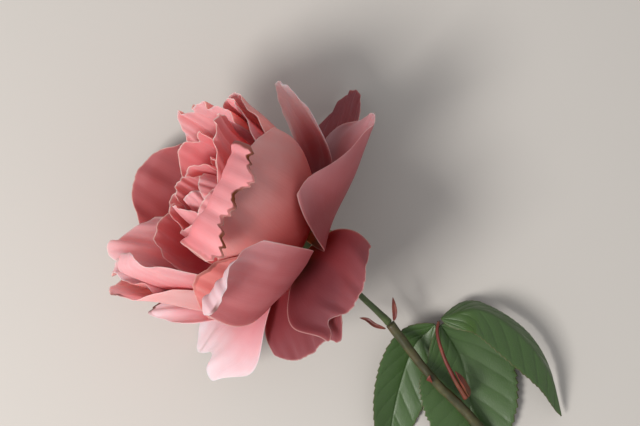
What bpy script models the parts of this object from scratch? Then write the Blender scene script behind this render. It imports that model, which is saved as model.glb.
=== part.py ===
"""A cut garden rose lying on its side: petals, sepals, hip, stalk, stem and one leaf.

Metres, +Z up, resting on z = 0.  The bloom is modelled round its own axis and then laid
down with its face tipped up a little, so that the stem slopes down to the surface.
"""

import math

import bmesh
import bpy
import numpy as np
from mathutils import Matrix, Vector

MM = 0.001

# How the bloom lies: its face looks along HEADING and is tipped up by LIFT.
LIFT = math.radians(25.0)
HEADING = math.radians(149.3)
BLOOM_BASE = Vector((-7.3, -12.4, 30.0)) * MM  # where the petals meet the hip

# Moves the whole rose so that its box stands centred on the origin.
CENTRING = Vector((-9.5, 35.8, -0.2)) * MM

PETAL_THICKNESS = 0.35 * MM
GREEN_THICKNESS = 0.45 * MM

# The dome that the petals stand on: a cone with its tip up the bloom's axis.
DOME_RADIUS = 5.4 * MM
DOME_TIP_RADIUS = 1.0 * MM
DOME_HEIGHT = 9.0 * MM
CLAW_STANDOFF = 0.45 * MM  # from the dome's side to the middle of a petal's foot
CLAW_WIDTH = 3.2  # mm, a petal's foot
LAYERS = 34.0  # layer 0 is the innermost petal and LAYERS the outermost one
SEPAL_LAYER = 36.5
RIB_REACH = 1.3  # how far past its plain length a petal's lobes may run, as a share of it

# The rib's lean from the bloom's axis, in degrees, at even steps from base to tip.
HEART_LEAN = (52, 20, 4, -4, -8, -6)
MIDDLE_LEAN = (68, 46, 24, 8, 0, -4)
CUP_LEAN = (85, 76, 46, 18, 4, -4)
MIDDLE_LAYER = 17.0
CUP_LAYER = 24.0


def family(layer, flare=0.0):
    """The rib angles that a petal of this layer has, its tip turned out by flare."""
    if layer <= MIDDLE_LAYER:
        inner, outer, share = HEART_LEAN, MIDDLE_LEAN, layer / MIDDLE_LAYER
    else:
        inner, outer = MIDDLE_LEAN, CUP_LEAN
        share = (layer - MIDDLE_LAYER) / (CUP_LAYER - MIDDLE_LAYER)
    return [
        start + (end - start) * share + flare * max(0.0, (k - 3) / 2.0)
        for k, (start, end) in enumerate(zip(inner, outer))
    ]


def petal(name, layer, azimuth, length, width, angles=None, flare=0.0, **more):
    """One petal's measures, in millimetres and degrees.  Azimuth 0 is the bloom's upper side."""
    spec = {
        "name": name,
        "layer": layer,
        "azimuth": azimuth,
        "length": length,
        "width": width,
        "angles": angles or family(layer, flare),
        "wrap": 1.0,  # 1 follows the cup round, 0 is flat across
        "widest": 0.62,  # how far along the petal it is widest
        "top": 0.80,  # its width at the tip, as a share of its width
        "round": 0.20,  # how far the rim falls back at the sides, as a share of its length
        "roll": (0.0, 0.0),  # degrees that each side edge turns outward
        "roll_from": 0.4,  # where that turn starts across the petal
        "roll_start": 0.25,  # and where it starts along it
        "rim": (),  # lobes and notches: place across, spread, millimetres
        "ruffle": 0.0,  # mm
        "waves": 3.0,
        "phase": 0.0,
        "grid": (8, 9),  # faces across and along
    }
    spec.update(more)
    return spec


# The outer petals, opened wide or folded back.
GUARD = [
    petal(
        "guard_petal_01", 31.0, 71, 48, 68, (86, 84, 82, 78, 74, 74),
        wrap=0.3, roll=(-104, 10), roll_from=0.0, roll_start=0.15, widest=0.6, top=0.3, round=0.35,
        rim=[(-1, 0.3, -7), (1, 0.6, -4)], grid=(12, 10),
    ),
    petal(
        "guard_petal_02", 32.5, -5, 34.5, 37, (88, 95, 102, 107, 110, 116),
        wrap=0.3, roll=(-20, 60), rim=[(-1, 0.25, 9), (-0.6, 0.2, -3), (0.9, 0.25, -3)], round=0.24,
        grid=(10, 9),
    ),
    petal(
        "guard_petal_03", 31.0, -118.5, 45, 51, (86, 88, 90, 91, 94, 98),
        wrap=0.5, roll=(-70, 40), roll_from=0.1, widest=0.7, top=0.75,
        rim=[(-0.8, 0.3, 1), (-0.25, 0.25, 5), (0.3, 0.15, -4), (0.8, 0.25, 7), (1, 0.2, -5)],
        grid=(14, 10),
    ),
    petal(
        "guard_petal_04", 34.0, -42, 32, 39, (92, 100, 108, 112, 112, 118), wrap=0.4, rim=[(0.85, 0.25, 7)],
    ),
    petal("guard_petal_05", 34.0, 117, 56, 26, (90, 90, 90, 90, 90, 90), wrap=0.6, roll=(0, -40)),
    petal("guard_petal_06", 30.4, 162, 43, 30, (88, 82, 68, 52, 46, 50), wrap=0.8),
    petal(
        "guard_petal_07", 28.6, -128, 50, 32, (88, 83, 66, 54, 50, 54),
        wrap=0.9, roll=(-28, 0), rim=[(0.5, 0.25, 3)],
    ),
    petal("guard_petal_08", 28.5, 100, 55, 24, (86, 84, 62, 36, 24, 16), wrap=1.2),
    petal(
        "guard_petal_09", 27.0, -19, 70, 31, (84, 73, 54, 31, 24, 130),
        wrap=0.95, roll=(40, 0), widest=0.6, round=0.12, rim=[(-0.9, 0.5, 5), (0.9, 0.6, -8)],
        grid=(10, 14),
    ),
]

# The big petals that make the cup.
CUPS = [
    petal("cup_petal_01", 24.0, 20, 56, 58, (80, 64, 42, 20, 7, 0), wrap=0.97, round=0.18),
    petal("cup_petal_02", 21.4, 92, 55, 50, (77, 62, 42, 20, 7, -2)),
    petal("cup_petal_03", 25.0, 186, 66, 46, (86, 80, 50, 22, 6, -2)),
    petal("cup_petal_04", 21.2, -116, 59, 48, flare=24, wrap=0.9),
    petal("cup_petal_05", 22.5, -93, 62, 44, flare=30, roll=(0, -30)),
    petal("cup_petal_06", 25.4, -34, 51, 36, (84, 71, 50, 25, 12, 8), roll=(35, 0), round=0.3),
    petal("cup_petal_07", 18.7, 122, 57.5, 36),
]

# The folded petals inside the cup.
INNER_GRID = (7, 8)
INNER = [
    petal(
        "inner_petal_01", 16.6, 6, 65, 39, (67, 59, 50, 39, 28, 21, 16, 15, 23, 129, 129),
        round=0.08, rim=[(-0.85, 0.4, 7)], grid=(8, 18),
    ),
    petal("inner_petal_02", 15.3, 50, 57, 32, flare=40, grid=INNER_GRID),
    petal(
        "inner_petal_03", 19.0, -70, 64, 30, (70, 62, 54, 44, 34, 27, 20, 13, 6, -8, -85), grid=(7, 14),
    ),
    petal("inner_petal_04", 14.0, 126, 47, 40, grid=INNER_GRID),
    petal("inner_petal_05", 20.1, 90, 54, 42, (75, 59, 35, 13, 9, 26), grid=INNER_GRID),
    petal("inner_petal_06", 15.0, -128, 44, 36, (66, 56, 40, 18, 0, -14), grid=INNER_GRID),
]

# The heart's small petals stand at the golden angle, one inside the other.
GOLDEN_ANGLE = 137.5
HEART_PETALS = 9


def heart_petal(n):
    """The heart's petal number n, counted inward: narrower and leaning in more each time.

    Those on the upper side are a little shorter.
    """
    azimuth = GOLDEN_ANGLE * n - 56
    layer = 11.4 - 1.4 * n
    length = 39.5 - 3.5 * max(0.0, math.cos(math.radians(azimuth)))
    width = 31 - 2.0 * n
    return petal(
        f"inner_petal_{len(INNER) + 1 + n:02d}", layer, azimuth, length, width, flare=-2.5 * n,
        ruffle=0.14, waves=3.0 + 0.3 * (n % 4), phase=1.7 * n, grid=(9, 7),
    )


HEART = [heart_petal(n) for n in range(HEART_PETALS)]
PETALS = GUARD + CUPS + INNER + HEART

# Five sepals folded back round the hip, seated on its rim below the petals.
SEPALS = [
    petal(
        f"sepal_{n + 1}", SEPAL_LAYER, 72 * n, 18, 7, (116, 138, 152, 162, 168, 170),
        wrap=0.9, widest=0.3, top=0.12, round=0.05, grid=(4, 7),
    )
    for n in range(5)
]

# Radius and height of the hip, in millimetres, from the dome's tip down to the stalk.
HIP_PROFILE = [
    (0.0, 9.6), (0.9, 9.1), (5.4, -0.2), (5.4, -1.0), (3.9, -1.9), (3.6, -3.0),
    (4.3, -5.0), (4.7, -7.2), (4.2, -9.6), (2.6, -11.6), (1.5, -12.6), (0.0, -12.6),
]
HIP_SIDES = 20

# Routes in millimetres from the bloom outward, each a smooth curve through its points,
# and the radii that run smoothly along them.
STALK_ROUTE = [
    (3.0, -18.5, 24.4), (8.4, -22.6, 21.6), (13.9, -27.6, 18.7), (18.9, -32.3, 16.0), (22.6, -36.0, 14.2),
]
STALK_RADII = (1.15, 1.05, 1.0, 1.1, 1.3)
STEM_ROUTE = [
    (23.1, -36.5, 13.9), (33.0, -49.6, 10.9), (39.6, -57.4, 8.9), (47.6, -65.2, 6.9),
    (57.5, -77.0, 4.6), (70.0, -93.0, 2.9), (83.0, -111.5, 2.3),
]
STEM_RADII = (1.6, 1.45, 1.5, 1.65, 1.75, 1.85, 2.0)
LEAF_STALK_ROUTE = [
    (48.6, -61.6, 7.4), (44.4, -54.6, 9.6), (41.0, -47.6, 10.6), (38.9, -40.0, 9.6), (39.4, -36.0, 8.6),
]
LEAF_STALK_RADII = (1.0, 0.75, 0.6, 0.55, 0.45)


def leaflet(name, width, rib, face=(0, 0, 1), fold=(0, 0), grid=(6, 9)):
    """A leaflet by its midrib's route, the way it faces and the tilt of its two halves."""
    return {"name": name, "width": width, "rib": rib, "face": face, "fold": fold, "grid": grid}


LEAFLETS = [
    leaflet(
        "leaflet_1", 21, fold=(2, 34),
        rib=[
            (38.2, -37.0, 7.4), (31.5, -44.5, 4.3), (27.0, -57.0, 2.2), (24.0, -71.0, 1.2),
            (23.0, -84.0, 0.7),
        ],
    ),
    leaflet(
        "leaflet_2", 34, fold=(6, 15),
        rib=[
            (40.2, -37.2, 7.6), (47.0, -48.0, 3.6), (50.0, -62.0, 1.8), (51.0, -76.0, 1.1),
            (51.0, -90.0, 0.8),
        ],
    ),
    leaflet(
        "leaflet_3", 21, face=(0.5, 0.6, 0.62), fold=(-24, -24),
        rib=[
            (40.2, -35.0, 9.2), (53.0, -32.0, 12.5), (66.0, -40.0, 13.0), (76.0, -53.0, 9.5),
            (81.0, -68.0, 3.0),
        ],
    ),
]

# The small red blades at the stem's nodes.
RED_BLADES = [
    leaflet(
        "bract_1", 3.0, grid=(4, 7), fold=(30, 30),
        rib=[(24.2, -35.4, 15.4), (24.5, -32.8, 16.6), (24.2, -30.2, 17.2), (23.8, -27.6, 17.2)],
    ),
    leaflet(
        "bract_2", 3.6, grid=(4, 7), fold=(25, 25),
        rib=[(21.7, -38.2, 13.2), (18.2, -37.0, 13.2), (15.6, -35.2, 12.8), (13.0, -34.6, 12.2)],
    ),
    leaflet(
        "stipule_1", 4.4, grid=(4, 6), fold=(35, 35), face=(0.8, 0.3, 0.5),
        rib=[(49.6, -61.0, 8.6), (47.2, -57.2, 10.2), (44.8, -52.4, 11.4)],
    ),
    leaflet(
        "axil_bud", 2.6, grid=(4, 5), fold=(40, 40), face=(-0.6, -0.5, 0.6),
        rib=[(36.9, -55.9, 10.9), (36.5, -54.8, 11.9), (36.2, -53.6, 12.6)],
    ),
]


def through(values, at):
    """A smooth curve through evenly spaced values, read at places from 0 to 1."""
    values = np.asarray(values, float)
    spans = len(values) - 1
    x = np.clip(at, 0.0, 1.0) * spans
    i = np.minimum(x.astype(int), spans - 1)
    t = x - i
    first = 2 * values[0] - values[1]
    last = 2 * values[-1] - values[-2]
    p0, p1, p2, p3 = (np.concatenate(([first], values, [last]))[i + k] for k in range(4))
    return 0.5 * (
        2 * p1 + (p2 - p0) * t + (2 * p0 - 5 * p1 + 4 * p2 - p3) * t**2
        + (3 * p1 - p0 - 3 * p2 + p3) * t**3
    )


def smoothstep(x):
    x = np.clip(x, 0.0, 1.0)
    return x * x * (3 - 2 * x)


def petal_rib(spec):
    """The petal's middle line: places along it, radius and height there, and its lean."""
    along = np.linspace(0, RIB_REACH, 196)
    lean = np.radians(through(spec["angles"], along))
    step = along[1] * spec["length"] * MM
    share = spec["layer"] / LAYERS
    outward = (np.sin(lean[1:]) + np.sin(lean[:-1])) / 2 * step
    upward = (np.cos(lean[1:]) + np.cos(lean[:-1])) / 2 * step
    foot = DOME_TIP_RADIUS + (DOME_RADIUS - DOME_TIP_RADIUS) * share + CLAW_STANDOFF
    radius = foot + np.concatenate(([0], np.cumsum(outward)))
    height = DOME_HEIGHT * (1 - share) + np.concatenate(([0], np.cumsum(upward)))
    return along, radius, height, lean


def petal_half_width(spec, along):
    """Half the petal's width there: a narrow claw that swells to a broad blade."""
    claw = CLAW_WIDTH / spec["width"]
    widest = spec["widest"]
    swell = np.sin(np.pi / 2 * np.clip(along / widest, 0, 1)) ** 0.9
    taper = 1 - (1 - spec["top"]) * smoothstep((along - widest) / (1 - widest))
    return spec["width"] / 2 * MM * (claw + (1 - claw) * swell) * taper


def inward(lean, turn):
    """The direction to the petal's inner side, as radial, sideways and axial parts."""
    return np.stack(
        [-np.cos(lean) * np.cos(turn), -np.cos(lean) * np.sin(turn), np.sin(lean) + 0 * turn], -1
    )


def petal_points(spec, u, v):
    """A petal's middle surface: u from -1 to 1 across it, v from its base to its rim."""
    places, radii, heights, leans = petal_rib(spec)
    lobes = sum(size * np.exp(-(((u - place) / spread) ** 2)) for place, spread, size in spec["rim"])
    reach = smoothstep((v - 0.45) / 0.55) * lobes / spec["length"]
    along = v * (1 - spec["round"] * np.abs(u) ** 2.4) + reach
    radius, height, lean = (np.interp(along, places, line) for line in (radii, heights, leans))
    half = petal_half_width(spec, along)
    curl = spec["wrap"] / np.maximum(radius, 1.5 * MM)

    # From the middle line out to the side in short steps, turning outward as it rolls.
    steps = 24
    walk = u[..., None] * (np.arange(steps) + 0.5) / steps
    turn = (curl * half)[..., None] * walk
    side = np.where(walk < 0, *(math.radians(x) for x in spec["roll"]))
    opened = smoothstep((along - spec["roll_start"]) / 0.5)[..., None]
    start = spec["roll_from"]
    roll = (side * opened * smoothstep((np.abs(walk) - start) / (1 - start)))[..., None]
    around = np.stack([-np.sin(turn), np.cos(turn), 0 * turn], -1)
    out = -np.sign(walk)[..., None] * inward(lean[..., None], turn)
    stride = (half * u / steps)[..., None]
    place = ((np.cos(roll) * around + np.sin(roll) * out) * stride[..., None]).sum(axis=-2)

    edge = np.pi * spec["waves"] * u
    wave = np.sin(edge + spec["phase"]) + 0.5 * np.sin(1.9 * edge + 2.1 * spec["phase"])
    ruffle = spec["ruffle"] * MM * smoothstep((along - 0.45) / 0.5) * wave
    place -= inward(lean, curl * half * u) * ruffle[..., None]
    place[..., 0] += radius
    place[..., 2] += height
    azimuth = math.radians(spec["azimuth"])
    x = math.cos(azimuth) * place[..., 0] - math.sin(azimuth) * place[..., 1]
    y = math.sin(azimuth) * place[..., 0] + math.cos(azimuth) * place[..., 1]
    return np.stack([x, y, place[..., 2]], -1)


def leaf_points(spec, u, v):
    """A leaflet's middle surface: u from -1 to 1 across it, v from its base to its tip."""
    rib, ahead, behind = (
        np.stack([through(line, v + shift) for line in zip(*spec["rib"])], -1) * MM
        for shift in (0.0, 0.01, -0.01)
    )
    forward = ahead - behind
    across = np.cross(forward, np.array(spec["face"], float))
    across /= np.linalg.norm(across, axis=-1, keepdims=True)
    face = np.cross(across, forward)
    face /= np.linalg.norm(face, axis=-1, keepdims=True)
    outline = np.sin(np.pi * v**0.8) ** 0.75
    half = spec["width"] / 2 * MM * np.maximum(outline, 0.04)
    tilt = np.where(u < 0, *(math.radians(x) for x in spec["fold"]))[..., None]
    sideways = np.sign(u)[..., None] * np.cos(tilt) * across
    return rib + (half * np.abs(u))[..., None] * (sideways + np.sin(tilt) * face)


def material(name, colour, roughness):
    made = bpy.data.materials.new(name)
    made.use_nodes = True
    shader = made.node_tree.nodes["Principled BSDF"]
    shader.inputs["Base Color"].default_value = (*colour, 1.0)
    shader.inputs["Roughness"].default_value = roughness
    return made


def add_object(name, data, collection, parent, paint):
    data.materials.append(paint)
    made = bpy.data.objects.new(name, data)
    collection.objects.link(made)
    made.parent = parent
    return made


def blade(spec, points, thickness, collection, parent, paint):
    """A petal or a leaf: a grid laid on the surface that points gives, with its thickness."""
    across, along = spec["grid"]
    grid = bmesh.new()
    bmesh.ops.create_grid(grid, x_segments=across, y_segments=along, size=1.0)
    u = np.array([vert.co.x for vert in grid.verts])
    v = np.clip(np.array([(vert.co.y + 1) / 2 for vert in grid.verts]), 0, 1)
    for vert, point in zip(grid.verts, points(spec, u, v)):
        vert.co = point
    mesh = bpy.data.meshes.new(spec["name"])
    grid.to_mesh(mesh)
    grid.free()
    mesh.shade_smooth()
    skin = add_object(spec["name"], mesh, collection, parent, paint).modifiers.new("thickness", "SOLIDIFY")
    skin.thickness = thickness
    skin.offset = 0.0


def turned(name, profile, steps, collection, parent, paint):
    """A solid of revolution round its own Z, from a profile that runs from top to bottom."""
    outline = bmesh.new()
    verts = [outline.verts.new((radius * MM, 0.0, height * MM)) for radius, height in profile]
    for first, second in zip(verts, verts[1:]):
        outline.edges.new((first, second))
    mesh = bpy.data.meshes.new(name)
    outline.to_mesh(mesh)
    outline.free()
    screw = add_object(name, mesh, collection, parent, paint).modifiers.new("turn", "SCREW")
    screw.steps = steps
    screw.render_steps = steps
    screw.use_merge_vertices = True
    screw.merge_threshold = 0.00002
    screw.use_smooth_shade = True


def rod(name, route, radii, sides, samples, collection, parent, paint):
    """A stalk along a smooth route, its radius running smoothly through radii."""
    curve = bpy.data.curves.new(name, "CURVE")
    curve.dimensions = "3D"
    curve.bevel_depth = MM
    curve.bevel_resolution = sides // 4 - 1
    curve.use_fill_caps = True
    line = curve.splines.new("POLY")
    line.points.add(samples - 1)
    places = np.linspace(0, 1, samples)
    path = np.stack([through(values, places) for values in zip(*route)], -1) * MM
    for point, place, radius in zip(line.points, path, through(radii, places)):
        point.co = (*place, 1.0)
        point.radius = radius
    add_object(name, curve, collection, parent, paint)


def bloom_frame():
    """The bloom's own frame: X is its upper side and Z its axis, at the foot of its petals."""
    level = math.cos(LIFT)
    axis = Vector((level * math.cos(HEADING), level * math.sin(HEADING), math.sin(LIFT)))
    up = (Vector((0, 0, 1)) - axis * axis.z).normalized()
    turn = Matrix((up, axis.cross(up), axis)).transposed()
    return Matrix.Translation(BLOOM_BASE) @ turn.to_4x4()


def main():
    for old in list(bpy.data.objects):
        bpy.data.objects.remove(old)
    rose = bpy.data.collections.new("rose")
    bpy.context.scene.collection.children.link(rose)
    resting = bpy.data.objects.new("resting", None)
    bloom = bpy.data.objects.new("bloom", None)
    rose.objects.link(resting)
    rose.objects.link(bloom)
    resting.location = CENTRING
    bloom.parent = resting
    bloom.matrix_basis = bloom_frame()

    pink = material("petal_pink", (0.86, 0.42, 0.44), 0.5)
    green = material("hip_green", (0.10, 0.17, 0.06), 0.5)
    bark = material("stem_green", (0.11, 0.12, 0.05), 0.55)
    leaf = material("leaf_green", (0.04, 0.11, 0.03), 0.4)
    red = material("shoot_red", (0.25, 0.06, 0.04), 0.5)

    for spec in PETALS:
        blade(spec, petal_points, PETAL_THICKNESS, rose, bloom, pink)
    for spec in SEPALS:
        blade(spec, petal_points, GREEN_THICKNESS, rose, bloom, green)
    turned("hip", HIP_PROFILE, HIP_SIDES, rose, bloom, green)
    rod("flower_stalk", STALK_ROUTE, STALK_RADII, 8, 9, rose, resting, green)
    rod("stem", STEM_ROUTE, STEM_RADII, 12, 22, rose, resting, bark)
    rod("leaf_stalk", LEAF_STALK_ROUTE, LEAF_STALK_RADII, 8, 12, rose, resting, red)
    for spec in LEAFLETS:
        blade(spec, leaf_points, GREEN_THICKNESS, rose, resting, leaf)
    for spec in RED_BLADES:
        blade(spec, leaf_points, GREEN_THICKNESS, rose, resting, red)


main()
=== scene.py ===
# A cut garden rose lying on a pale surface, seen from straight above.
# The bloom is modelled round its own axis and laid over the CAD frame's petals.
import math

import bpy
import numpy as np
from mathutils import Matrix, Vector


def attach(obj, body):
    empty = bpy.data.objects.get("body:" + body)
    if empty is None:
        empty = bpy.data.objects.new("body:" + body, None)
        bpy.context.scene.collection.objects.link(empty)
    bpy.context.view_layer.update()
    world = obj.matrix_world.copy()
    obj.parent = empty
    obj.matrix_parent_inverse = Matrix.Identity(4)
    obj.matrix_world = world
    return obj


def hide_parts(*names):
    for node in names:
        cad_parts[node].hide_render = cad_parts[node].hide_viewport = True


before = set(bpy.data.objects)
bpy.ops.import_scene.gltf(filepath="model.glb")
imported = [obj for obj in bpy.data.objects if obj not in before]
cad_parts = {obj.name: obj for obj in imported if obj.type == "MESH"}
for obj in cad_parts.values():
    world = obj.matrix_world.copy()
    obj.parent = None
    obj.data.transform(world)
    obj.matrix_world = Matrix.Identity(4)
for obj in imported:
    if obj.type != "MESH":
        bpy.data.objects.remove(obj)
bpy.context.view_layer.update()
mm = 0.001
fullTurn = 6.28

# where the bloom lies, as in the frame: its base, and the way its face looks
bloom = {
    "base": (-16.8, 23.4, 29.8),
    "heading": 149.3,
    "lift": 25.0,
    "domeRadius": (1.0, 5.4),
    "domeHeight": 9.0,
    "standoff": 0.45,
    "layers": 34.0,
}

# the rib's lean from the bloom's axis in degrees, from base to tip, by layer
leanFamilies = {
    0.0: (52, 20, 4, -4, -8, -6),
    17.0: (68, 46, 24, 8, 0, -4),
    24.0: (85, 76, 46, 18, 4, -4),
}


def through(values, at):
    # a smooth curve through evenly spaced values, read at places from 0 to 1
    values = np.asarray(values, float)
    if len(values) == 1:
        return values[0] + 0 * at
    spans = len(values) - 1
    x = np.clip(at, 0.0, 1.0) * spans
    i = np.minimum(x.astype(int), spans - 1)
    t = x - i
    padded = np.concatenate(([2 * values[0] - values[1]], values, [2 * values[-1] - values[-2]]))
    p0, p1, p2, p3 = (padded[i + k] for k in range(4))
    return 0.5 * (
        2 * p1 + (p2 - p0) * t + (2 * p0 - 5 * p1 + 4 * p2 - p3) * t**2 + (3 * p1 - p0 - 3 * p2 + p3) * t**3
    )


def smooth(x):
    x = np.clip(x, 0.0, 1.0)
    return x * x * (3 - 2 * x)


def familyLean(layer, flare):
    # the rib angles of a petal of this layer, its last two turned out by flare
    layers = sorted(leanFamilies)
    low = layers[0] if layer <= layers[1] else layers[1]
    high = layers[1] if layer <= layers[1] else layers[2]
    share = (layer - low) / (high - low)
    return [
        a + (b - a) * share + flare * max(0.0, (k - 3) / 2.0)
        for k, (a, b) in enumerate(zip(leanFamilies[low], leanFamilies[high]))
    ]


def petal(layer, azimuth, length, width, lean=None, **more):
    # a petal's measures in millimetres and degrees; azimuth 0 is the bloom's upper side
    spec = {
        "layer": layer, "azimuth": azimuth, "length": length, "width": width, "flare": 0,
        "wrap": 1.0, "widest": 0.62, "top": 0.80, "round": 0.20, "claw": 3.2, "thickness": 0.24,
        "roll": (0, 0),  # degrees each side turns back
        "rollFrom": 0.4, "rollStart": 0.25,  # where that begins, across and along
        "curl": (0,),  # degrees the rim turns out, at even steps across
        "curlFrom": 0.6, "curlTo": 1.0,  # where along the petal that happens
        "rim": (),  # lobes and notches: (place across, spread, millimetres)
        "brown": (),  # browned stretches of the rim: (place across, spread, strength)
        "frill": 0.35, "waves": 4.0, "crumple": 0.35, "torn": 0.12,
        "dusk": 0.0, "pale": 0.0, "paleFrom": 0.2,  # how much painted shade darkens the petal to mauve, or painted light pales it
        "grid": (56, 64), "seed": 1,
    }
    spec.update(more)
    spec["lean"] = lean or familyLean(layer, spec["flare"])
    return spec


# petals lying in shade carry painted shade, a mauve darkening, and lit ones painted light, a paler tint
guardPetals = {
    "guard_petal_01": petal(
        31.0, 71, 48, 68, (86, 84, 82, 78, 74, 74), wrap=0.3, roll=(-104, 10), rollFrom=0.0,
        rollStart=0.15, widest=0.6, top=0.3, rim=[(-1, 0.3, -7), (1, 0.6, -4)], round=0.35, dusk=0.7,
        crumple=0.2, seed=31,
    ),
    "guard_petal_02": petal(
        32.5, -5, 34.5, 37, (88, 95, 102, 107, 110, 116), wrap=0.3, roll=(-20, 60),
        rim=[(-1, 0.25, 9), (-0.6, 0.2, -3), (0.9, 0.25, -3)], round=0.24, torn=0.3, dusk=1.0,
        crumple=0.2, seed=32,
    ),
    "guard_petal_03": petal(
        31.0, -118.5, 45, 51, (86, 88, 90, 91, 94, 98), wrap=0.5, roll=(-70, 40), rollFrom=0.1,
        widest=0.7, top=0.75,
        rim=[(-0.8, 0.3, 1), (-0.25, 0.25, 5), (0.3, 0.15, -4), (0.8, 0.25, 7), (1, 0.2, -5)], pale=0.2,
        crumple=0.25, seed=33,
    ),
    "guard_petal_04": petal(
        34.0, -42, 32, 39, (92, 100, 108, 112, 112, 118), wrap=0.4, rim=[(0.85, 0.25, 7)], dusk=1.0,
        crumple=0.25, seed=34,
    ),
    "guard_petal_05": petal(
        34.0, 117, 56, 26, (90, 90, 90, 90, 90, 90), wrap=0.6, roll=(0, -40), dusk=1.0, seed=35,
    ),
    "guard_petal_06": petal(30.4, 162, 43, 30, (88, 82, 68, 52, 46, 50), wrap=0.8, seed=36),
    "guard_petal_07": petal(
        28.6, -128, 50, 32, (88, 83, 66, 54, 50, 54), wrap=0.9, roll=(-28, 0),
        rim=[(0.5, 0.15, 3), (0.1, 0.1, -2)], brown=[(0.15, 0.35, 1.0)], torn=0.3, seed=37,
    ),
    "guard_petal_08": petal(
        28.5, 100, 55, 24, (86, 84, 62, 36, 24, 16), wrap=1.2, dusk=0.8, pale=0.9, paleFrom=0.5,
        seed=38,
    ),
    "guard_petal_09": petal(
        27.0, -19, 70, 31, (84, 73, 54, 31, 24, 130), wrap=0.95, roll=(40, 0), round=0.12, widest=0.6,
        rim=[(-0.9, 0.5, 5), (0.9, 0.6, -8)], brown=[(-0.5, 0.15, 0.8)], dusk=0.3, crumple=0.2, seed=39,
    ),
}
# painted shade darkens some of these petals to mauve, and painted light pales others
cupPetals = {
    "cup_petal_01": petal(
        24.0, 20, 56, 58, (80, 64, 42, 20, 7, 0), round=0.18, wrap=0.97, crumple=0.2, pale=0.1,
        paleFrom=0.45, seed=11,
    ),
    "cup_petal_02": petal(
        21.4, 92, 55, 50, (77, 62, 42, 20, 7, -6), curl=(0, 0, 30, 10, 0), curlFrom=0.86, seed=12,
    ),
    "cup_petal_03": petal(
        25.0, 186, 66, 46, (86, 80, 50, 22, 6, -2), curl=(0, 35, 45, 25, 0), curlFrom=0.9, frill=0.6,
        waves=3, crumple=0.15, dusk=0.8, seed=13,
    ),
    "cup_petal_04": petal(
        21.2, -116, 59, 48, flare=24, wrap=0.9, rim=[(-0.35, 0.15, 2), (0, 0.12, -3), (0.3, 0.15, 1)],
        curl=(0, 0, 60, 30, 0), curlFrom=0.9, frill=0.9, waves=5, crumple=0.15, pale=0.15, seed=14,
    ),
    "cup_petal_05": petal(
        22.5, -93, 62, 44, flare=30, roll=(0, -30), rim=[(-0.6, 0.3, -3)], brown=[(0.25, 0.2, 0.8)],
        pale=0.3, seed=15,
    ),
    "cup_petal_06": petal(
        25.4, -34, 51, 36, (84, 71, 50, 25, 12, 8), roll=(35, 0), round=0.3, torn=0.2,
        brown=[(0.2, 0.6, 0.6)], dusk=0.35, seed=16,
    ),
    "cup_petal_07": petal(
        18.7, 122, 57.5, 36, rim=[(0.45, 0.2, 2), (0.1, 0.12, -3)], frill=1.1, waves=5, seed=17,
    ),
}
# painted shade darkens some of these petals to mauve, and painted light pales one
innerPetals = {
    "inner_petal_01": petal(
        16.6, 6, 65, 39, (67, 50, 28, 16, 14, 14), curl=(115,), curlFrom=0.78, curlTo=0.9, round=0.08,
        rim=[(-0.35, 0.2, -3), (-0.85, 0.4, 7), (0.15, 0.1, -3), (0.45, 0.12, 2), (1, 0.2, 1)],
        torn=1.0, brown=[(-0.6, 0.35, 1.0), (0.1, 0.3, 1.0), (0.8, 0.3, 1.0)], grid=(110, 80), seed=21,
    ),
    "inner_petal_02": petal(15.3, 50, 57, 32, flare=40, frill=0.6, dusk=0.25, seed=22),
    "inner_petal_03": petal(
        19.0, -70, 64, 30, (70, 54, 34, 16, 6, -10), curl=(-50, -80, -80, -50), curlFrom=0.88,
        crumple=0.15, pale=0.15, seed=23,
    ),
    "inner_petal_04": petal(
        14.0, 126, 47, 40, rim=[(0, 0.15, -3), (-0.45, 0.25, 1.5), (0.45, 0.25, 1.5)], frill=0.5,
        dusk=0.3, seed=64,
    ),
    "inner_petal_05": petal(20.1, 90, 54, 42, (75, 59, 35, 13, 9, 26), frill=0.3, seed=75),
    "inner_petal_06": petal(15.0, -128, 44, 36, (66, 56, 40, 18, 0, -14), seed=26),
}
# the heart's small petals stand at the golden angle one inside the other
heart = {
    "count": 9, "firstNumber": 7, "startAngle": -56, "goldenAngle": 137.5,
    "layer": 11.4, "layerStep": 1.4, "length": 39.5, "shorterAbove": 3.5,
    "width": 31, "widthStep": 2.0, "flareStep": -2.5,
}
for n in range(heart["count"]):
    around = heart["startAngle"] + heart["goldenAngle"] * n
    above = max(0.0, math.cos(math.radians(around)))
    innerPetals[f"inner_petal_{n + heart['firstNumber']:02d}"] = petal(
        heart["layer"] - heart["layerStep"] * n, around,
        heart["length"] - heart["shorterAbove"] * above, heart["width"] - heart["widthStep"] * n,
        flare=heart["flareStep"] * n, frill=0.35, crumple=0.08, thickness=0.2,
        waves=3.0 + 0.3 * (n % 4), seed=n,
    )


def petalRib(p, reach=1.3, steps=196):
    # the petal's middle line: places along it, radius and height there, and its lean
    places = np.linspace(0, reach, steps)
    lean = np.radians(through(p["lean"], places))
    stride = places[1] * p["length"] * mm
    share = p["layer"] / bloom["layers"]
    outward = (np.sin(lean[1:]) + np.sin(lean[:-1])) / 2 * stride
    upward = (np.cos(lean[1:]) + np.cos(lean[:-1])) / 2 * stride
    tip, foot = bloom["domeRadius"]
    start = (tip + (foot - tip) * share + bloom["standoff"]) * mm
    radius = start + np.concatenate(([0], np.cumsum(outward)))
    height = bloom["domeHeight"] * mm * (1 - share) + np.concatenate(([0], np.cumsum(upward)))
    return places, radius, height, lean


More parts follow.
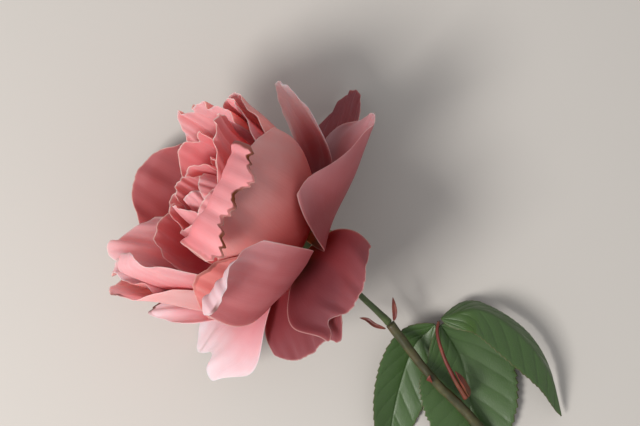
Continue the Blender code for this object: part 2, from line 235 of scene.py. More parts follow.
petalForm = {
    "swell": 0.9,  # how full the claw opens into the blade
    "shoulder": 2.4,  # how square the blade's end is
    "tears": 46,  # small tears and notches across the rim
    "lobesFrom": 0.45, "tearsFrom": 0.8, "frillFrom": 0.5, "dentsTo": 0.5,  # places along the blade
    "rollSpan": 0.5,  # how much of the length the sides take to open
    "sideSteps": 24, "ribSteps": 48,
    "leastRadius": 1.5,  # millimetres; a petal wraps round the axis no tighter than this
    "frillShape": (1.9, 0.5),  # a second, finer wave and its share
    "dents": ((5.1, 7.3), (3.9, -6.1)),  # two slanted waves: how fast each runs across and along
    "fineDents": ((11.0, 4.0), (-5.0, 9.0)),
    "fineShare": 0.4,
    "crowding": 1.2,  # how much closer together the rows are near the rim
    "paintedLightTo": 0.9,  # where the painted light has its full strength
}


def halfWidth(p, along):
    # half the petal's width there: a narrow claw that swells to a broad blade
    claw = p["claw"] / p["width"]
    swell = np.sin(np.pi / 2 * np.clip(along / p["widest"], 0, 1)) ** petalForm["swell"]
    taper = 1 - (1 - p["top"]) * smooth((along - p["widest"]) / (1 - p["widest"]))
    return p["width"] / 2 * mm * (claw + (1 - claw) * swell) * taper


def inward(lean, turn):
    # the direction to the petal's inner side, as radial, sideways and axial parts
    return np.stack([-np.cos(lean) * np.cos(turn), -np.cos(lean) * np.sin(turn), np.sin(lean) + 0 * turn], -1)


def bumps(features, u):
    # the sum of round bumps, each (place across, spread, height)
    return sum((h * np.exp(-(((u - at) / spread) ** 2)) for at, spread, h in features), 0 * u)


def ripples(waves, u, v, phases):
    # the product of two slanted waves
    (across, along), (otherAcross, otherAlong) = waves
    return np.sin(across * u + along * v + phases[0]) * np.sin(otherAcross * u + otherAlong * v + phases[1])


def petalShape(p, u, v):
    # the petal's middle surface: u from -1 to 1 across it, v from its base to its rim
    form = petalForm
    rng = np.random.default_rng(p["seed"])
    teeth = through(rng.uniform(-1, 1, form["tears"]), (u + 1) / 2) * p["torn"] / p["length"]
    lobes = bumps(p["rim"], u) / p["length"]
    full = 1 - p["round"] * np.abs(u) ** form["shoulder"]
    lobeShare = smooth((v - form["lobesFrom"]) / (1 - form["lobesFrom"]))
    toothShare = smooth((v - form["tearsFrom"]) / (1 - form["tearsFrom"]))
    along = v * full + lobeShare * lobes + toothShare * teeth
    places, radii, heights, leans = petalRib(p)
    ribRadius, height, lean = (np.interp(along, places, line) for line in (radii, heights, leans))
    half = halfWidth(p, along)
    bend = p["wrap"] / np.maximum(ribRadius, form["leastRadius"] * mm)

    # from the middle line out to the side in short steps, turning outward as it rolls
    steps = form["sideSteps"]
    walk = u[:, None] * (np.arange(steps) + 0.5) / steps
    turn = (bend * half)[:, None] * walk
    side = np.where(walk < 0, *(math.radians(x) for x in p["roll"]))
    opened = smooth((along - p["rollStart"]) / form["rollSpan"])[:, None]
    roll = (side * opened * smooth((np.abs(walk) - p["rollFrom"]) / (1 - p["rollFrom"])))[..., None]
    around = np.stack([-np.sin(turn), np.cos(turn), 0 * turn], -1)
    out = -np.sign(walk)[..., None] * inward(lean[:, None], turn)
    stride = (half * u / steps)[:, None, None]
    place = ((np.cos(roll) * around + np.sin(roll) * out) * stride).sum(axis=-2)

    # the rim's own turn outward or inward, summed from the base up
    steps = form["ribSteps"]
    most = np.radians(through(p["curl"], (u + 1) / 2))[:, None]
    up = along[:, None] * (np.arange(steps) + 0.5) / steps
    leanUp = np.interp(up, places, leans)
    curlSpan = p["curlTo"] - p["curlFrom"]
    turned = leanUp + most * smooth((up - p["curlFrom"]) / curlSpan)
    stride = along * p["length"] * mm / steps
    radius = ribRadius + (np.sin(turned) - np.sin(leanUp)).sum(axis=-1) * stride
    height = height + (np.cos(turned) - np.cos(leanUp)).sum(axis=-1) * stride
    tipLean = lean + most[:, 0] * smooth((along - p["curlFrom"]) / curlSpan)
    swing = bend * half * u
    place[:, 0] += (radius - ribRadius) * np.cos(swing)
    place[:, 1] += (radius - ribRadius) * np.sin(swing)
    place[:, 0] += ribRadius
    place[:, 2] += height

    # frills along the rim and soft dents all over
    phase = rng.uniform(0, fullTurn, 6)
    edge = np.pi * p["waves"] * u
    finer, share = form["frillShape"]
    frill = np.sin(edge + phase[0]) + share * np.sin(finer * edge + phase[1])
    dents = ripples(form["dents"], u, v, phase[2:4])
    dents += form["fineShare"] * ripples(form["fineDents"], u, v, phase[4:6])
    shift = p["frill"] * frill * smooth((v - form["frillFrom"]) / (1 - form["frillFrom"]))
    shift += p["crumple"] * dents * smooth(v / form["dentsTo"])
    inner = inward(tipLean, swing)
    place -= inner * (shift * mm)[:, None]
    azimuth = math.radians(p["azimuth"])
    c, s = math.cos(azimuth), math.sin(azimuth)
    toBloom = np.array([[c, s, 0], [-s, c, 0], [0, 0, 1]])
    return place @ toBloom, inner @ toBloom, half


def bloomFrame():
    # X is the bloom's upper side and Z its axis, at the foot of its petals
    lift, heading = math.radians(bloom["lift"]), math.radians(bloom["heading"])
    axis = Vector((math.cos(lift) * math.cos(heading), math.cos(lift) * math.sin(heading), math.sin(lift)))
    up = (Vector((0, 0, 1)) - axis * axis.z).normalized()
    turn = Matrix((up, axis.cross(up), axis)).transposed()
    return Matrix.Translation(Vector(bloom["base"]) * mm) @ turn.to_4x4()


def deselect():
    for chosen in bpy.context.selected_objects:
        chosen.select_set(False)


def applyModifier(piece, kind, **settings):
    bpy.context.view_layer.objects.active = piece
    bpy.ops.object.modifier_add(type=kind)
    made = piece.modifiers[-1]
    for name, value in settings.items():
        setattr(made, name, value)
    bpy.ops.object.modifier_apply(modifier=made.name)


def readPlaces(piece):
    places = np.zeros(len(piece.data.vertices) * 3, np.float32)
    piece.data.vertices.foreach_get("co", places)
    return places.reshape(-1, 3).astype(float)


def writePlaces(piece, places):
    piece.data.vertices.foreach_set("co", np.asarray(places, np.float32).ravel())
    piece.data.update()


def writeUv(piece, across, along):
    corners = np.zeros(len(piece.data.loops), np.int32)
    piece.data.loops.foreach_get("vertex_index", corners)
    uv = np.stack([across[corners], along[corners]], -1)
    piece.data.uv_layers[0].data.foreach_set("uv", uv.astype(np.float32).ravel())


def writeMask(piece, name, values):
    mask = piece.data.attributes.new(name, "FLOAT", "POINT")
    mask.data.foreach_set("value", np.asarray(values, np.float32))


def newGrid(name, across, along):
    # a flat grid, with each point's place from -1 to 1 across and from 0 to 1 along
    deselect()
    bpy.ops.mesh.primitive_grid_add(x_subdivisions=across, y_subdivisions=along, size=2)
    piece = bpy.context.object
    piece.name = name
    places = readPlaces(piece)
    return piece, places[:, 0], np.clip((places[:, 1] + 1) / 2, 0, 1)


def thicken(piece, thickness, inner, edgeGap, fadeWidth=1.2, edgeShare=0.35):
    # gives a blade its thickness, thinner at the edge, and marks its outer side with 1
    count = len(piece.data.vertices)
    full = piece.vertex_groups.new(name="full")
    for i, share in enumerate(smooth(edgeGap / fadeWidth)):
        full.add([i], float(share), "REPLACE")
    applyModifier(
        piece, "SOLIDIFY", thickness=thickness * mm, offset=0.0, vertex_group="full",
        thickness_vertex_group=edgeShare,
    )
    places = readPlaces(piece)
    firstIsOuter = ((places[count:] - places[:count]) * inner).sum() > 0
    outside = np.zeros(len(places))
    outside[:count] = firstIsOuter
    outside[count:] = not firstIsOuter
    writeMask(piece, "outside", outside)
    piece.vertex_groups.clear()


def finishPiece(piece, node, paint):
    piece.data.materials.clear()
    piece.data.materials.append(paint)
    piece.data.shade_smooth()
    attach(piece, "root")
    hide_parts(node)


def pieceName(node):
    # guard_petal_01 becomes guardPetal01, and hip becomes roseHip
    words = node.split("_") if "_" in node else ["rose", node]
    return words[0] + "".join(word.capitalize() for word in words[1:])


def makePetal(node, p, paint):
    piece, u, g = newGrid(pieceName(node), *p["grid"])
    v = 1 - (1 - g) ** petalForm["crowding"]
    places, inner, half = petalShape(p, u, v)
    turn = np.array(bloomFrame())
    writePlaces(piece, places @ turn[:3, :3].T + turn[:3, 3])
    writeUv(piece, (u + 1) / 2, v)
    rimGap = np.minimum((1 - v) * p["length"], (1 - np.abs(u)) * half / mm)
    writeMask(piece, "rimGap", rimGap)
    writeMask(piece, "brown", np.clip(bumps(p["brown"], u), 0, 1))
    # painted light: a paler tint where light falls on the petal, growing towards the rim
    pale = p["pale"] * smooth((v - p["paleFrom"]) / (petalForm["paintedLightTo"] - p["paleFrom"]))
    writeMask(piece, "pale", pale)
    # painted shade: a mauve darkening where the petal lies in shade, kept off where painted light is
    writeMask(piece, "dusk", p["dusk"] * (1 - pale))
    thicken(piece, p["thickness"], inner @ turn[:3, :3].T, rimGap)
    finishPiece(piece, node, paint)


# the calyx: five narrow sepals folded back round the hip, seated below the petals
sepals = {
    f"sepal_{n + 1}": petal(
        36.5, 72 * n, 18, 7, (116, 138, 152, 162, 168, 170), wrap=0.9, widest=0.3, top=0.12, round=0.05,
        frill=0.25, crumple=0.1, torn=0.0, thickness=0.45, grid=(16, 40), seed=50 + n,
    )
    for n in range(5)
}

# round pieces: a route with radii smoothly along it, in millimetres
stalks = {
    "flower_stalk": {
        "route": [
            (-6.5, 17.3, 24.2), (-1.1, 13.2, 21.4), (4.4, 8.2, 18.5), (9.4, 3.5, 15.8), (13.1, -0.2, 14.0),
        ],
        "radii": (1.15, 1.05, 1.0, 1.1, 1.3), "bumps": 0.05, "slot": "young_green",
    },
    "stem": {
        "route": [
            (13.6, -0.7, 13.7), (23.5, -13.8, 10.7), (30.1, -21.6, 8.7), (38.1, -29.4, 6.7),
            (48.0, -41.2, 4.4), (60.5, -57.2, 2.7), (73.5, -75.7, 2.1),
        ],
        "radii": (1.6, 1.45, 1.5, 1.65, 1.75, 1.85, 2.0), "bumps": 0.08, "slot": "stem",
    },
    "leaf_stalk": {
        "route": [
            (39.1, -25.8, 7.2), (34.9, -18.8, 9.4), (31.5, -11.8, 10.4), (29.4, -4.2, 9.4), (29.9, -0.2, 8.4),
        ],
        "radii": (1.0, 0.75, 0.6, 0.55, 0.45), "bumps": 0.03, "slot": "red_shoot",
    },
}

stalkForm = {
    "sides": 24, "ringsPerMm": 1.4,
    "knobs": ((0.7, 2), (0.29, -1)),  # two slanted waves: how fast each runs along and round
}

# the hip, its neck and the dome that the petals stand on, from the top down
hip = {
    "heights": (9.6, 9.1, -0.2, -1.0, -1.9, -3.0, -5.0, -7.2, -9.6, -11.6, -12.6),
    "radii": (0.15, 0.9, 5.4, 5.4, 3.9, 3.6, 4.3, 4.7, 4.2, 2.6, 1.5),
    "ribs": 5, "ribDepth": 0.03, "ribsFrom": 0.4, "ribsSpan": 0.2,
    "sides": 40, "rings": 60, "slot": "young_green",
}


def newTube(name, sides, rings):
    # an upright closed cylinder cut into rings, with each point's share along it
    deselect()
    bpy.ops.mesh.primitive_cylinder_add(vertices=sides, radius=1, depth=1)
    piece = bpy.context.object
    piece.name = name
    bpy.ops.object.mode_set(mode="EDIT")
    bpy.ops.mesh.select_mode(type="EDGE")
    bpy.ops.mesh.select_all(action="DESELECT")
    bpy.ops.object.mode_set(mode="OBJECT")
    for edge in piece.data.edges:
        a, b = (piece.data.vertices[i].co.z for i in edge.vertices)
        edge.select = abs(a - b) > 0.5
    bpy.ops.object.mode_set(mode="EDIT")
    bpy.ops.mesh.subdivide(number_cuts=rings)
    bpy.ops.object.mode_set(mode="OBJECT")
    places = readPlaces(piece)
    return piece, places, np.clip(places[:, 2] + 0.5, 0, 1)


def alongRoute(places, share, path, radii, step=0.004):
    # bends an upright tube onto a route: path(share) gives points, radii the radius there
    centre = path(share)
    forward = path(np.clip(share + step, 0, 1)) - path(np.clip(share - step, 0, 1))
    forward /= np.linalg.norm(forward, axis=-1, keepdims=True)
    upward = np.array([0.3, 0.2, 1.0])  # a little off the vertical, so that no route runs along it
    across = np.cross(forward, upward)
    across /= np.linalg.norm(across, axis=-1, keepdims=True)
    above = np.cross(across, forward)
    return centre + radii[:, None] * (places[:, :1] * across + places[:, 1:2] * above)


def makeStalk(node, spec, paint):
    length = sum((Vector(b) - Vector(a)).length for a, b in zip(spec["route"], spec["route"][1:]))
    rings = int(length * stalkForm["ringsPerMm"])
    piece, places, share = newTube(pieceName(node), stalkForm["sides"], rings)

    def path(at):
        return np.stack([through(line, at) for line in zip(*spec["route"])], -1) * mm

    angle = np.arctan2(places[:, 1], places[:, 0])
    knobs = ripples(stalkForm["knobs"], share * length, angle, (0.0, 0.0))
    radii = through(spec["radii"], share) + spec["bumps"] * knobs
    writePlaces(piece, alongRoute(places, share, path, radii * mm))
    finishPiece(piece, node, paint)


def makeHip(spec, paint):
    piece, places, share = newTube(pieceName("hip"), spec["sides"], spec["rings"])
    turn = np.array(bloomFrame())
    heights = through(spec["heights"], share) * mm
    radii = through(spec["radii"], share) * mm
    angle = np.arctan2(places[:, 1], places[:, 0])
    ribbed = smooth((share - spec["ribsFrom"]) / spec["ribsSpan"])
    radii *= 1 + spec["ribDepth"] * np.cos(spec["ribs"] * angle) * ribbed
    local = np.stack([places[:, 0] * radii, places[:, 1] * radii, heights], -1)
    writePlaces(piece, local @ turn[:3, :3].T + turn[:3, 3])
    bpy.ops.object.mode_set(mode="EDIT")
    bpy.ops.mesh.select_all(action="SELECT")
    bpy.ops.mesh.normals_make_consistent(inside=False)
    bpy.ops.object.mode_set(mode="OBJECT")
    finishPiece(piece, "hip", paint)


def blade(width, rib, face=(0, 0, 1), fold=(0, 0), **more):
    # a leaf by its midrib's route, the way it faces and the tilt of its two halves
    spec = {
        "width": width, "rib": rib, "face": face, "fold": fold, "teeth": 0, "veins": 0,
        "thickness": 0.4, "grid": (20, 40), "wave": 0.2, "seed": 5,
    }
    spec.update(more)
    return spec


leaflets = {
    "leaflet_1": blade(
        21,
        [(28.7, -1.2, 7.2), (22.0, -8.7, 4.1), (17.5, -21.2, 2.0), (14.5, -35.2, 1.0), (13.5, -48.2, 0.5)],
        fold=(2, 34), teeth=22, veins=7, grid=(64, 120), wave=0.6,
    ),
    "leaflet_2": blade(
        34,
        [(30.7, -1.4, 7.4), (37.5, -12.2, 3.4), (40.5, -26.2, 1.6), (41.5, -40.2, 0.9), (41.5, -54.2, 0.6)],
        fold=(6, 15), teeth=26, veins=8, grid=(80, 130), wave=0.6, seed=6,
    ),
    "leaflet_3": blade(
        21,
        [(30.7, 0.8, 9.0), (43.5, 3.8, 12.3), (56.5, -4.2, 12.8), (66.5, -17.2, 9.3), (71.5, -32.2, 2.8)],
        face=(0.5, 0.6, 0.62), fold=(-24, -24), teeth=26, veins=8, grid=(64, 130), wave=0.6, seed=7,
    ),
}
shoots = {
    "bract_1": blade(
        1.9, [(14.7, 0.4, 15.2), (15.0, 3.0, 16.4), (14.7, 5.6, 17.0), (14.3, 8.2, 17.0)],
        fold=(30, 30),
    ),
    "bract_2": blade(
        1.7, [(12.2, -2.4, 13.0), (8.7, -1.2, 13.0), (6.1, 0.6, 12.6), (3.5, 1.2, 12.0)], fold=(25, 25),
    ),
    "stipule_1": blade(
        4.4, [(40.1, -25.2, 8.4), (37.7, -21.4, 10.0), (35.3, -16.6, 11.2)],
        face=(0.8, 0.3, 0.5), fold=(35, 35),
    ),
    "axil_bud": blade(
        2.6, [(27.4, -20.1, 10.7), (27.0, -19.0, 11.7), (26.7, -17.8, 12.4)],
        face=(-0.6, -0.5, 0.6), fold=(40, 40),
    ),
}


leafForm = {
    "outline": (0.8, 0.75),  # how near its foot the leaf is widest, and how full it is
    "leastOutline": 0.04, "step": 0.01,
    "tooth": 0.056, "toothFrom": 0.7, "toothSpan": 0.3, "toothOutline": 0.15,
    "midrib": 0.035, "veinWidth": 0.055, "veinShare": 0.75, "veinDepth": 0.22,
    "veinSlant": 0.32, "veinBend": 0.4, "veinStart": 0.25, "veinOutline": 0.12,
    "veinEdge": 1.02, "veinFade": 0.25,  # where a vein ends at the edge, and how soon it dies out
    "swell": 0.07, "swellFrom": 0.2, "swellTo": 0.3, "waves": 9,
}


def leafShape(spec, u, v):
    # the leaf's middle surface: u from -1 to 1 across it, v from its base to its tip
    form = leafForm

    def route(at):
        return np.stack([through(line, at) for line in zip(*spec["rib"])], -1) * mm

    rib, forward = route(v), route(v + form["step"]) - route(v - form["step"])
    forward = forward / np.linalg.norm(forward, axis=-1, keepdims=True)
    across = np.cross(forward, np.array(spec["face"], float))
    across /= np.linalg.norm(across, axis=-1, keepdims=True)
    face = np.cross(across, forward)
    basal, fullness = form["outline"]
    outline = np.sin(np.pi * np.clip(v, 0, 1) ** basal) ** fullness
    size = np.abs(u)
    # saw teeth that point to the tip
    saw = (v * spec["teeth"]) % 1.0 if spec["teeth"] else 0 * v
    toothed = smooth((size - form["toothFrom"]) / form["toothSpan"]) * (outline > form["toothOutline"])
    tooth = form["tooth"] * (saw - 0.5) * toothed
    half = spec["width"] / 2 * mm * np.maximum(outline, form["leastOutline"]) * (1 + tooth)
    tilt = np.where(u < 0, *(math.radians(x) for x in spec["fold"]))[:, None]
    sideways = np.sign(u)[:, None] * np.cos(tilt) * across
    place = rib + (half * size)[:, None] * (sideways + np.sin(tilt) * face)
    # side veins run out and forward from the midrib, and the blade swells between them
    vein = np.exp(-((size / form["midrib"]) ** 2))
    swell = 0 * v
    if spec["veins"]:
        run = (v - form["veinSlant"] * size * (1 - v) ** form["veinBend"]) * spec["veins"] + form["veinStart"]
        near = np.abs(run - np.round(run))
        fade = smooth((form["veinEdge"] - size) / form["veinFade"]) * (outline > form["veinOutline"])
        vein = np.maximum(vein, form["veinShare"] * fade * np.exp(-((near / form["veinWidth"]) ** 2)))
        between = smooth(size / form["swellFrom"]) * smooth((1 - size) / form["swellTo"])
        swell = form["swell"] * np.cos(2 * np.pi * run) * between * outline
    phase = np.random.default_rng(spec["seed"]).uniform(0, fullTurn)
    edge = spec["wave"] * size**2 * np.sin(form["waves"] * v + phase + 2 * np.sign(u)) * outline
    place += face * ((edge - swell - form["veinDepth"] * vein) * mm)[:, None]
    return place, -face, vein, half


def makeLeaf(node, spec, paint):
    piece, u, v = newGrid(pieceName(node), *spec["grid"])
    places, inner, vein, half = leafShape(spec, u, v)
    writePlaces(piece, places)
    writeUv(piece, (u + 1) / 2, v)
    edgeGap = (1 - np.abs(u)) * half / mm
    writeMask(piece, "vein", vein)
    writeMask(piece, "rimGap", edgeGap)
    thicken(piece, spec["thickness"], inner, edgeGap)
    finishPiece(piece, node, paint)


def tint(code):
    # a colour written as on a paint card, as linear numbers
    parts = [int(code[k:k + 2], 16) / 255 for k in (0, 2, 4)]
    return (*(((c + 0.055) / 1.055) ** 2.4 if c > 0.04045 else c / 12.92 for c in parts), 1.0)


def addNode(tree, kind, sockets=None, **settings):
    made = tree.nodes.new("ShaderNode" + kind)
    for name, value in settings.items():
        setattr(made, name, value)
    for name, value in (sockets or {}).items():
        if isinstance(value, bpy.types.NodeSocket):
            tree.links.new(value, made.inputs[name])
        else:
            made.inputs[name].default_value = value
    return made


def blendOf(tree, factor, a, b, mode="MIX"):
    # a mix of two colours; 0, 6 and 7 are its factor and its colours
    made = addNode(tree, "Mix", {0: factor, 6: a, 7: b}, data_type="RGBA", blend_type=mode)
    return made.outputs[2]


def rangeOf(tree, value, low, high, to=(0.0, 1.0)):
    # a smooth step from the first value of to at low to its second at high
    sockets = {"Value": value, "From Min": low, "From Max": high, "To Min": to[0], "To Max": to[1]}
    return addNode(tree, "MapRange", sockets, interpolation_type="SMOOTHSTEP").outputs[0]


def mathOf(tree, operation, *values):
    return addNode(tree, "Math", dict(enumerate(values)), operation=operation).outputs[0]


def maskOf(tree, name):
    return addNode(tree, "Attribute", attribute_name=name).outputs["Fac"]


def newGroup(name, inputs, outputs):
    group = bpy.data.node_groups.new(name, "ShaderNodeTree")
    for label, kind, value in inputs:
        made = group.interface.new_socket(label, in_out="INPUT", socket_type="NodeSocket" + kind)
        made.default_value = value
    for label, kind in outputs:
        group.interface.new_socket(label, in_out="OUTPUT", socket_type="NodeSocket" + kind)
    return group, group.nodes.new("NodeGroupInput").outputs, group.nodes.new("NodeGroupOutput").inputs


def makeStreaks():
    # fine lines from a blade's base to its rim, with broad soft bands among them
    group, given, put = newGroup(
        "tissueStreaks",
        [("Lines", "Float", 60.0), ("Length", "Float", 2.5), ("Seed", "Float", 0.0)],
        [("Lines", "Float"), ("Bands", "Float")],
    )
    uv = addNode(group, "TexCoord").outputs["UV"]
    parts = addNode(group, "SeparateXYZ", {0: uv}).outputs
    across = mathOf(group, "MULTIPLY", parts[0], given["Lines"])
    along = mathOf(group, "MULTIPLY", parts[1], given["Length"])
    fine = addNode(group, "CombineXYZ", {0: across, 1: along, 2: given["Seed"]}).outputs[0]
    noise = addNode(group, "TexNoise", {"Vector": fine, "Scale": 1.0, "Detail": 3.0, "Roughness": 0.6})
    wider = (0.16, 0.6, 1.0)  # the bands follow the lines at a coarser scale
    broad = addNode(group, "VectorMath", {0: fine, 1: wider}, operation="MULTIPLY").outputs[0]
    bands = addNode(group, "TexNoise", {"Vector": broad, "Scale": 1.0, "Detail": 2.0})
    group.links.new(noise.outputs["Fac"], put["Lines"])
    group.links.new(bands.outputs["Fac"], put["Bands"])
    return group


def makeGrain():
    # the small cells of living tissue, with blotches over them
    group, given, put = newGroup(
        "tissueGrain",
        [("Cells", "Float", 3000.0), ("Blotches", "Float", 160.0)],
        [("Cells", "Float"), ("Blotches", "Float")],
    )
    place = addNode(group, "TexCoord").outputs["Object"]
    cells = addNode(group, "TexNoise", {"Vector": place, "Scale": given["Cells"], "Detail": 1.0})
    blotches = addNode(group, "TexNoise", {"Vector": place, "Scale": given["Blotches"], "Detail": 3.0})
    group.links.new(cells.outputs["Fac"], put["Cells"])
    group.links.new(blotches.outputs["Fac"], put["Blotches"])
    return group


def startMaterial(name, **shaderValues):
    made = bpy.data.materials.new(name)
    made.use_nodes = True
    tree = made.node_tree
    shader = tree.nodes["Principled BSDF"]
    for socket, value in shaderValues.items():
        shader.inputs[socket.replace("_", " ")].default_value = value
    return made, tree, shader


def roughen(tree, shader, cells, span, low=0.3, high=0.7):
    rough = rangeOf(tree, cells.outputs["Blotches"], low, high, span)
    tree.links.new(rough, shader.inputs["Roughness"])


def reliefOf(tree, height, strength, distance, **more):
    sockets = {"Height": height, "Strength": strength, "Distance": distance, **more}
    return addNode(tree, "Bump", sockets).outputs[0]


petalPaints = {
    "outer_petal": {
        "inner": ("C9A05A", "CF7078", "DE9AA2", "F0CCD2"), "outer": ("D9B87C", "C06468", "C87A7E", "DEA8AC"),
        "edge": "F2D8D2", "rim": 0.2,
    },
    "cup_petal": {
        "inner": ("D9A870", "D6525C", "E47C82", "F4ACB0"), "outer": ("DC9C70", "D8423E", "EE706C", "F49A96"),
        "edge": "F6D5C8", "rim": 0.3,
    },
    "inner_petal": {
        "inner": ("D9A870", "CC3E46", "DC5A62", "EE989C"), "outer": ("E2B98E", "CC4A50", "D86C70", "EE9EA2"),
        "edge": "FAE0D0", "rim": 0.45,
    },
}

petalSkin = {
    "glow": 0.8, "glowDepth": 0.0016, "glowSpread": (0.9, 0.45, 0.4),
    "gloss": 0.15, "roughness": (0.48, 0.62),
    "stops": (0.05, 0.28, 0.62, 0.97),  # places of the four colours from foot to rim
    "wander": 0.16,  # how far the colours wander along the petal
    "deeper": "F2B8B8", "lines": (0.5, 0.75, (0.0, 0.10)), "bands": (0.45, 0.75, (0.0, 0.16)),
    # the tint of painted light, the mauve tint of painted shade, and the browned rim's own colour
    "pale": "F0D6DA", "dusk": "8A6468", "brown": "5A2A10",
    "rim": (0.1, 0.45), "ragged": 2.2, "browned": (-0.3, 0.35), "opaque": (0.1, 0.6),
    "cells": (0.10, 0.0002), "ribs": (0.12, 0.0005),  # strength and height of the relief
}


def petalMaterial(name, paint, streaks, grain):
    skin = petalSkin
    made, tree, shader = startMaterial(
        name, Subsurface_Scale=skin["glowDepth"], Subsurface_Radius=skin["glowSpread"],
        Specular_IOR_Level=skin["gloss"],
    )
    uv = addNode(tree, "TexCoord").outputs["UV"]
    along = addNode(tree, "SeparateXYZ", {0: uv}).outputs[1]
    lines = addNode(tree, "Group", node_tree=streaks)
    cells = addNode(tree, "Group", node_tree=grain)
    jitter = mathOf(tree, "MULTIPLY_ADD", cells.outputs["Blotches"], skin["wander"], -skin["wander"] / 2)
    wander = mathOf(tree, "ADD", along, jitter)

    def ramp(codes):
        mixer = addNode(tree, "ValToRGB", {0: wander})
        stops = mixer.color_ramp.elements
        first, *middle, last = skin["stops"]
        stops[0].position, stops[1].position = first, last
        for position in middle:
            stops.new(position)
        for stop, code in zip(stops, codes):
            stop.color = tint(code)
        return mixer.outputs[0]

    colour = blendOf(tree, maskOf(tree, "outside"), ramp(paint["inner"]), ramp(paint["outer"]))
    deeper = blendOf(tree, 1.0, colour, tint(skin["deeper"]), "MULTIPLY")
    colour = blendOf(tree, rangeOf(tree, lines.outputs["Lines"], *skin["lines"]), colour, deeper)
    colour = blendOf(tree, rangeOf(tree, lines.outputs["Bands"], *skin["bands"]), colour, deeper)
    # painted light: a pale pink tint mixed in where light falls on the petal
    colour = blendOf(tree, maskOf(tree, "pale"), colour, tint(skin["pale"]))
    # painted shade: the colour multiplied darker to mauve where the petal lies in shade
    shadedColour = blendOf(tree, 1.0, colour, tint(skin["dusk"]), "MULTIPLY")
    colour = blendOf(tree, maskOf(tree, "dusk"), colour, shadedColour)
    gap = maskOf(tree, "rimGap")
    atRim = rangeOf(tree, gap, *skin["rim"], (paint["rim"], 0.0))
    colour = blendOf(tree, atRim, colour, tint(paint["edge"]))
    tears = mathOf(tree, "MULTIPLY", cells.outputs["Blotches"], skin["ragged"])
    ragged = mathOf(tree, "SUBTRACT", gap, tears)
    nearRim = rangeOf(tree, ragged, *skin["browned"], (1.0, 0.0))
    browned = mathOf(tree, "MULTIPLY", maskOf(tree, "brown"), nearRim)
    colour = blendOf(tree, browned, colour, tint(skin["brown"]))
    tree.links.new(colour, shader.inputs["Base Color"])
    thin = rangeOf(tree, browned, *skin["opaque"], (skin["glow"], 0.0))
    tree.links.new(thin, shader.inputs["Subsurface Weight"])
    roughen(tree, shader, cells, skin["roughness"])
    fine = reliefOf(tree, cells.outputs["Cells"], *skin["cells"])
    relief = reliefOf(tree, lines.outputs["Lines"], *skin["ribs"], Normal=fine)
    tree.links.new(relief, shader.inputs["Normal"])
    return made


# the leaf's own dark green, made darker still as painted shade; the lighter blotches vary at random
leafPaint = {"upper": "12240E", "light": "1D3416", "under": "446032", "vein": "3A5428", "edge": "5A4A2A"}
leafSkin = {
    "glow": 0.15, "glowDepth": 0.0008, "glowSpread": (0.5, 1.0, 0.2), "roughness": (0.34, 0.5),
    "blotches": (0.35, 0.75), "vein": 0.45, "rim": (0.1, 0.5, (0.5, 0.0)), "cells": (0.3, 0.0003),
}


def leafMaterial(paint, grain):
    skin = leafSkin
    made, tree, shader = startMaterial(
        "leafGreen", Subsurface_Weight=skin["glow"], Subsurface_Scale=skin["glowDepth"],
        Subsurface_Radius=skin["glowSpread"],
    )
    cells = addNode(tree, "Group", node_tree=grain)
    blotches = rangeOf(tree, cells.outputs["Blotches"], *skin["blotches"])
    upper = blendOf(tree, blotches, tint(paint["upper"]), tint(paint["light"]))
    colour = blendOf(tree, maskOf(tree, "outside"), upper, tint(paint["under"]))
    vein = mathOf(tree, "MULTIPLY", maskOf(tree, "vein"), skin["vein"])
    colour = blendOf(tree, vein, colour, tint(paint["vein"]))
    atRim = rangeOf(tree, maskOf(tree, "rimGap"), *skin["rim"])
    colour = blendOf(tree, atRim, colour, tint(paint["edge"]))
    tree.links.new(colour, shader.inputs["Base Color"])
    roughen(tree, shader, cells, skin["roughness"])
    tree.links.new(reliefOf(tree, cells.outputs["Cells"], *skin["cells"]), shader.inputs["Normal"])
    return made


# the skin's base, its lighter blotches and its blush
stalkPaints = {
    "young_green": ("3E4E28", "5A6A38", "6A4030"),
    "stem": ("3A3C22", "4E4C2A", "5C3022"),
    "red_shoot": ("6B2A24", "8A4434", "5A5A30"),
    "sepal": ("4A6636", "6A8448", "7A4A3A"),
}
stalkSkin = {
    "glow": 0.05, "glowDepth": 0.0006, "roughness": (0.42, 0.6), "blotchScale": 260.0,
    "blotches": (0.4, 0.7), "blushScale": 70.0, "blush": (0.52, 0.72, (0.0, 0.6)), "relief": (0.3, 0.0004),
}


def stalkMaterial(name, codes, grain):
    skin = stalkSkin
    made, tree, shader = startMaterial(
        name + "Skin", Subsurface_Weight=skin["glow"], Subsurface_Scale=skin["glowDepth"],
    )
    cells = addNode(tree, "Group", {"Blotches": skin["blotchScale"]}, node_tree=grain)
    base, light, blush = (tint(code) for code in codes)
    colour = blendOf(tree, rangeOf(tree, cells.outputs["Blotches"], *skin["blotches"]), base, light)
    place = addNode(tree, "TexCoord").outputs["Object"]
    wide = addNode(tree, "TexNoise", {"Vector": place, "Scale": skin["blushScale"], "Detail": 2.0})
    colour = blendOf(tree, rangeOf(tree, wide.outputs["Fac"], *skin["blush"]), colour, blush)
    tree.links.new(colour, shader.inputs["Base Color"])
    roughen(tree, shader, cells, skin["roughness"])
    tree.links.new(reliefOf(tree, cells.outputs["Blotches"], *skin["relief"]), shader.inputs["Normal"])
    return made


stageSetup = {
    "floor": (1.2, "C9C6C0"),
    "camera": ((-9.5, 35.8, 598.9), 100.0, 36.0),  # place, lens and sensor width
    "aim": (-20.0, 30.0, 40.0),
    "key": ((-400.0, -240.0, 590.0), 0.26, 4.6, (1.0, 0.96, 0.93)),
    "fill": ((0.98, 0.96, 0.98), 0.5),
}


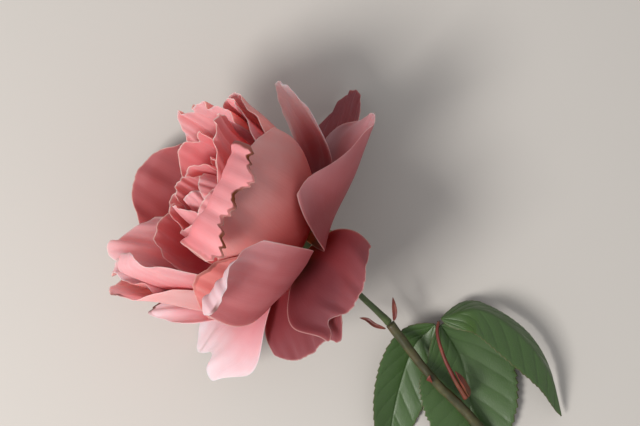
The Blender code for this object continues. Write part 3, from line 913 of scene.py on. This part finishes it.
def makeStage(setup):
    size, code = setup["floor"]
    deselect()
    bpy.ops.mesh.primitive_plane_add(size=size, location=(0, 0, 0))
    floor = bpy.context.object
    floor.name = "paleFloor"
    paint, tree, shader = startMaterial("paleFloor", Roughness=0.9, Specular_IOR_Level=0.1)
    shader.inputs["Base Color"].default_value = tint(code)
    floor.data.materials.append(paint)

    place, lens, sensorWidth = setup["camera"]
    camera = bpy.data.cameras.new("camera")
    camera.lens = lens
    camera.sensor_width = sensorWidth
    holder = bpy.data.objects.new("camera", camera)
    holder.location = Vector(place) * mm
    bpy.context.scene.collection.objects.link(holder)
    bpy.context.scene.camera = holder

    place, width, watts, colour = setup["key"]
    bpy.ops.object.light_add(type="AREA", location=Vector(place) * mm)
    lamp = bpy.context.object
    lamp.data.size = width
    lamp.data.energy = watts
    lamp.data.color = colour
    towards = Vector(setup["aim"]) * mm - lamp.location
    lamp.rotation_euler = towards.to_track_quat("-Z", "Y").to_euler()

    world = bpy.data.worlds.new("studio")
    bpy.context.scene.world = world
    world.use_nodes = True
    colour, strength = setup["fill"]
    background = world.node_tree.nodes["Background"]
    background.inputs["Color"].default_value = (*colour, 1.0)
    background.inputs["Strength"].default_value = strength
    bpy.context.scene.view_settings.view_transform = "Standard"


streaks, grain = makeStreaks(), makeGrain()
paints = {name: petalMaterial(pieceName(name), paint, streaks, grain) for name, paint in petalPaints.items()}
paints["leaf"] = leafMaterial(leafPaint, grain)
for name, codes in stalkPaints.items():
    paints[name] = stalkMaterial(pieceName(name), codes, grain)
print("materials made")

families = {"outer_petal": guardPetals, "cup_petal": cupPetals, "inner_petal": innerPetals}
for slotName, family in families.items():
    for node, p in family.items():
        makePetal(node, p, paints[slotName])
print("petals made")

for node, p in sepals.items():
    makePetal(node, p, paints["sepal"])
makeHip(hip, paints["young_green"])
for node, spec in stalks.items():
    makeStalk(node, spec, paints[spec["slot"]])
print("hip and stalks made")

for node, spec in leaflets.items():
    makeLeaf(node, spec, paints["leaf"])
for node, spec in shoots.items():
    makeLeaf(node, spec, paints["red_shoot"])
print("leaves made")

makeStage(stageSetup)
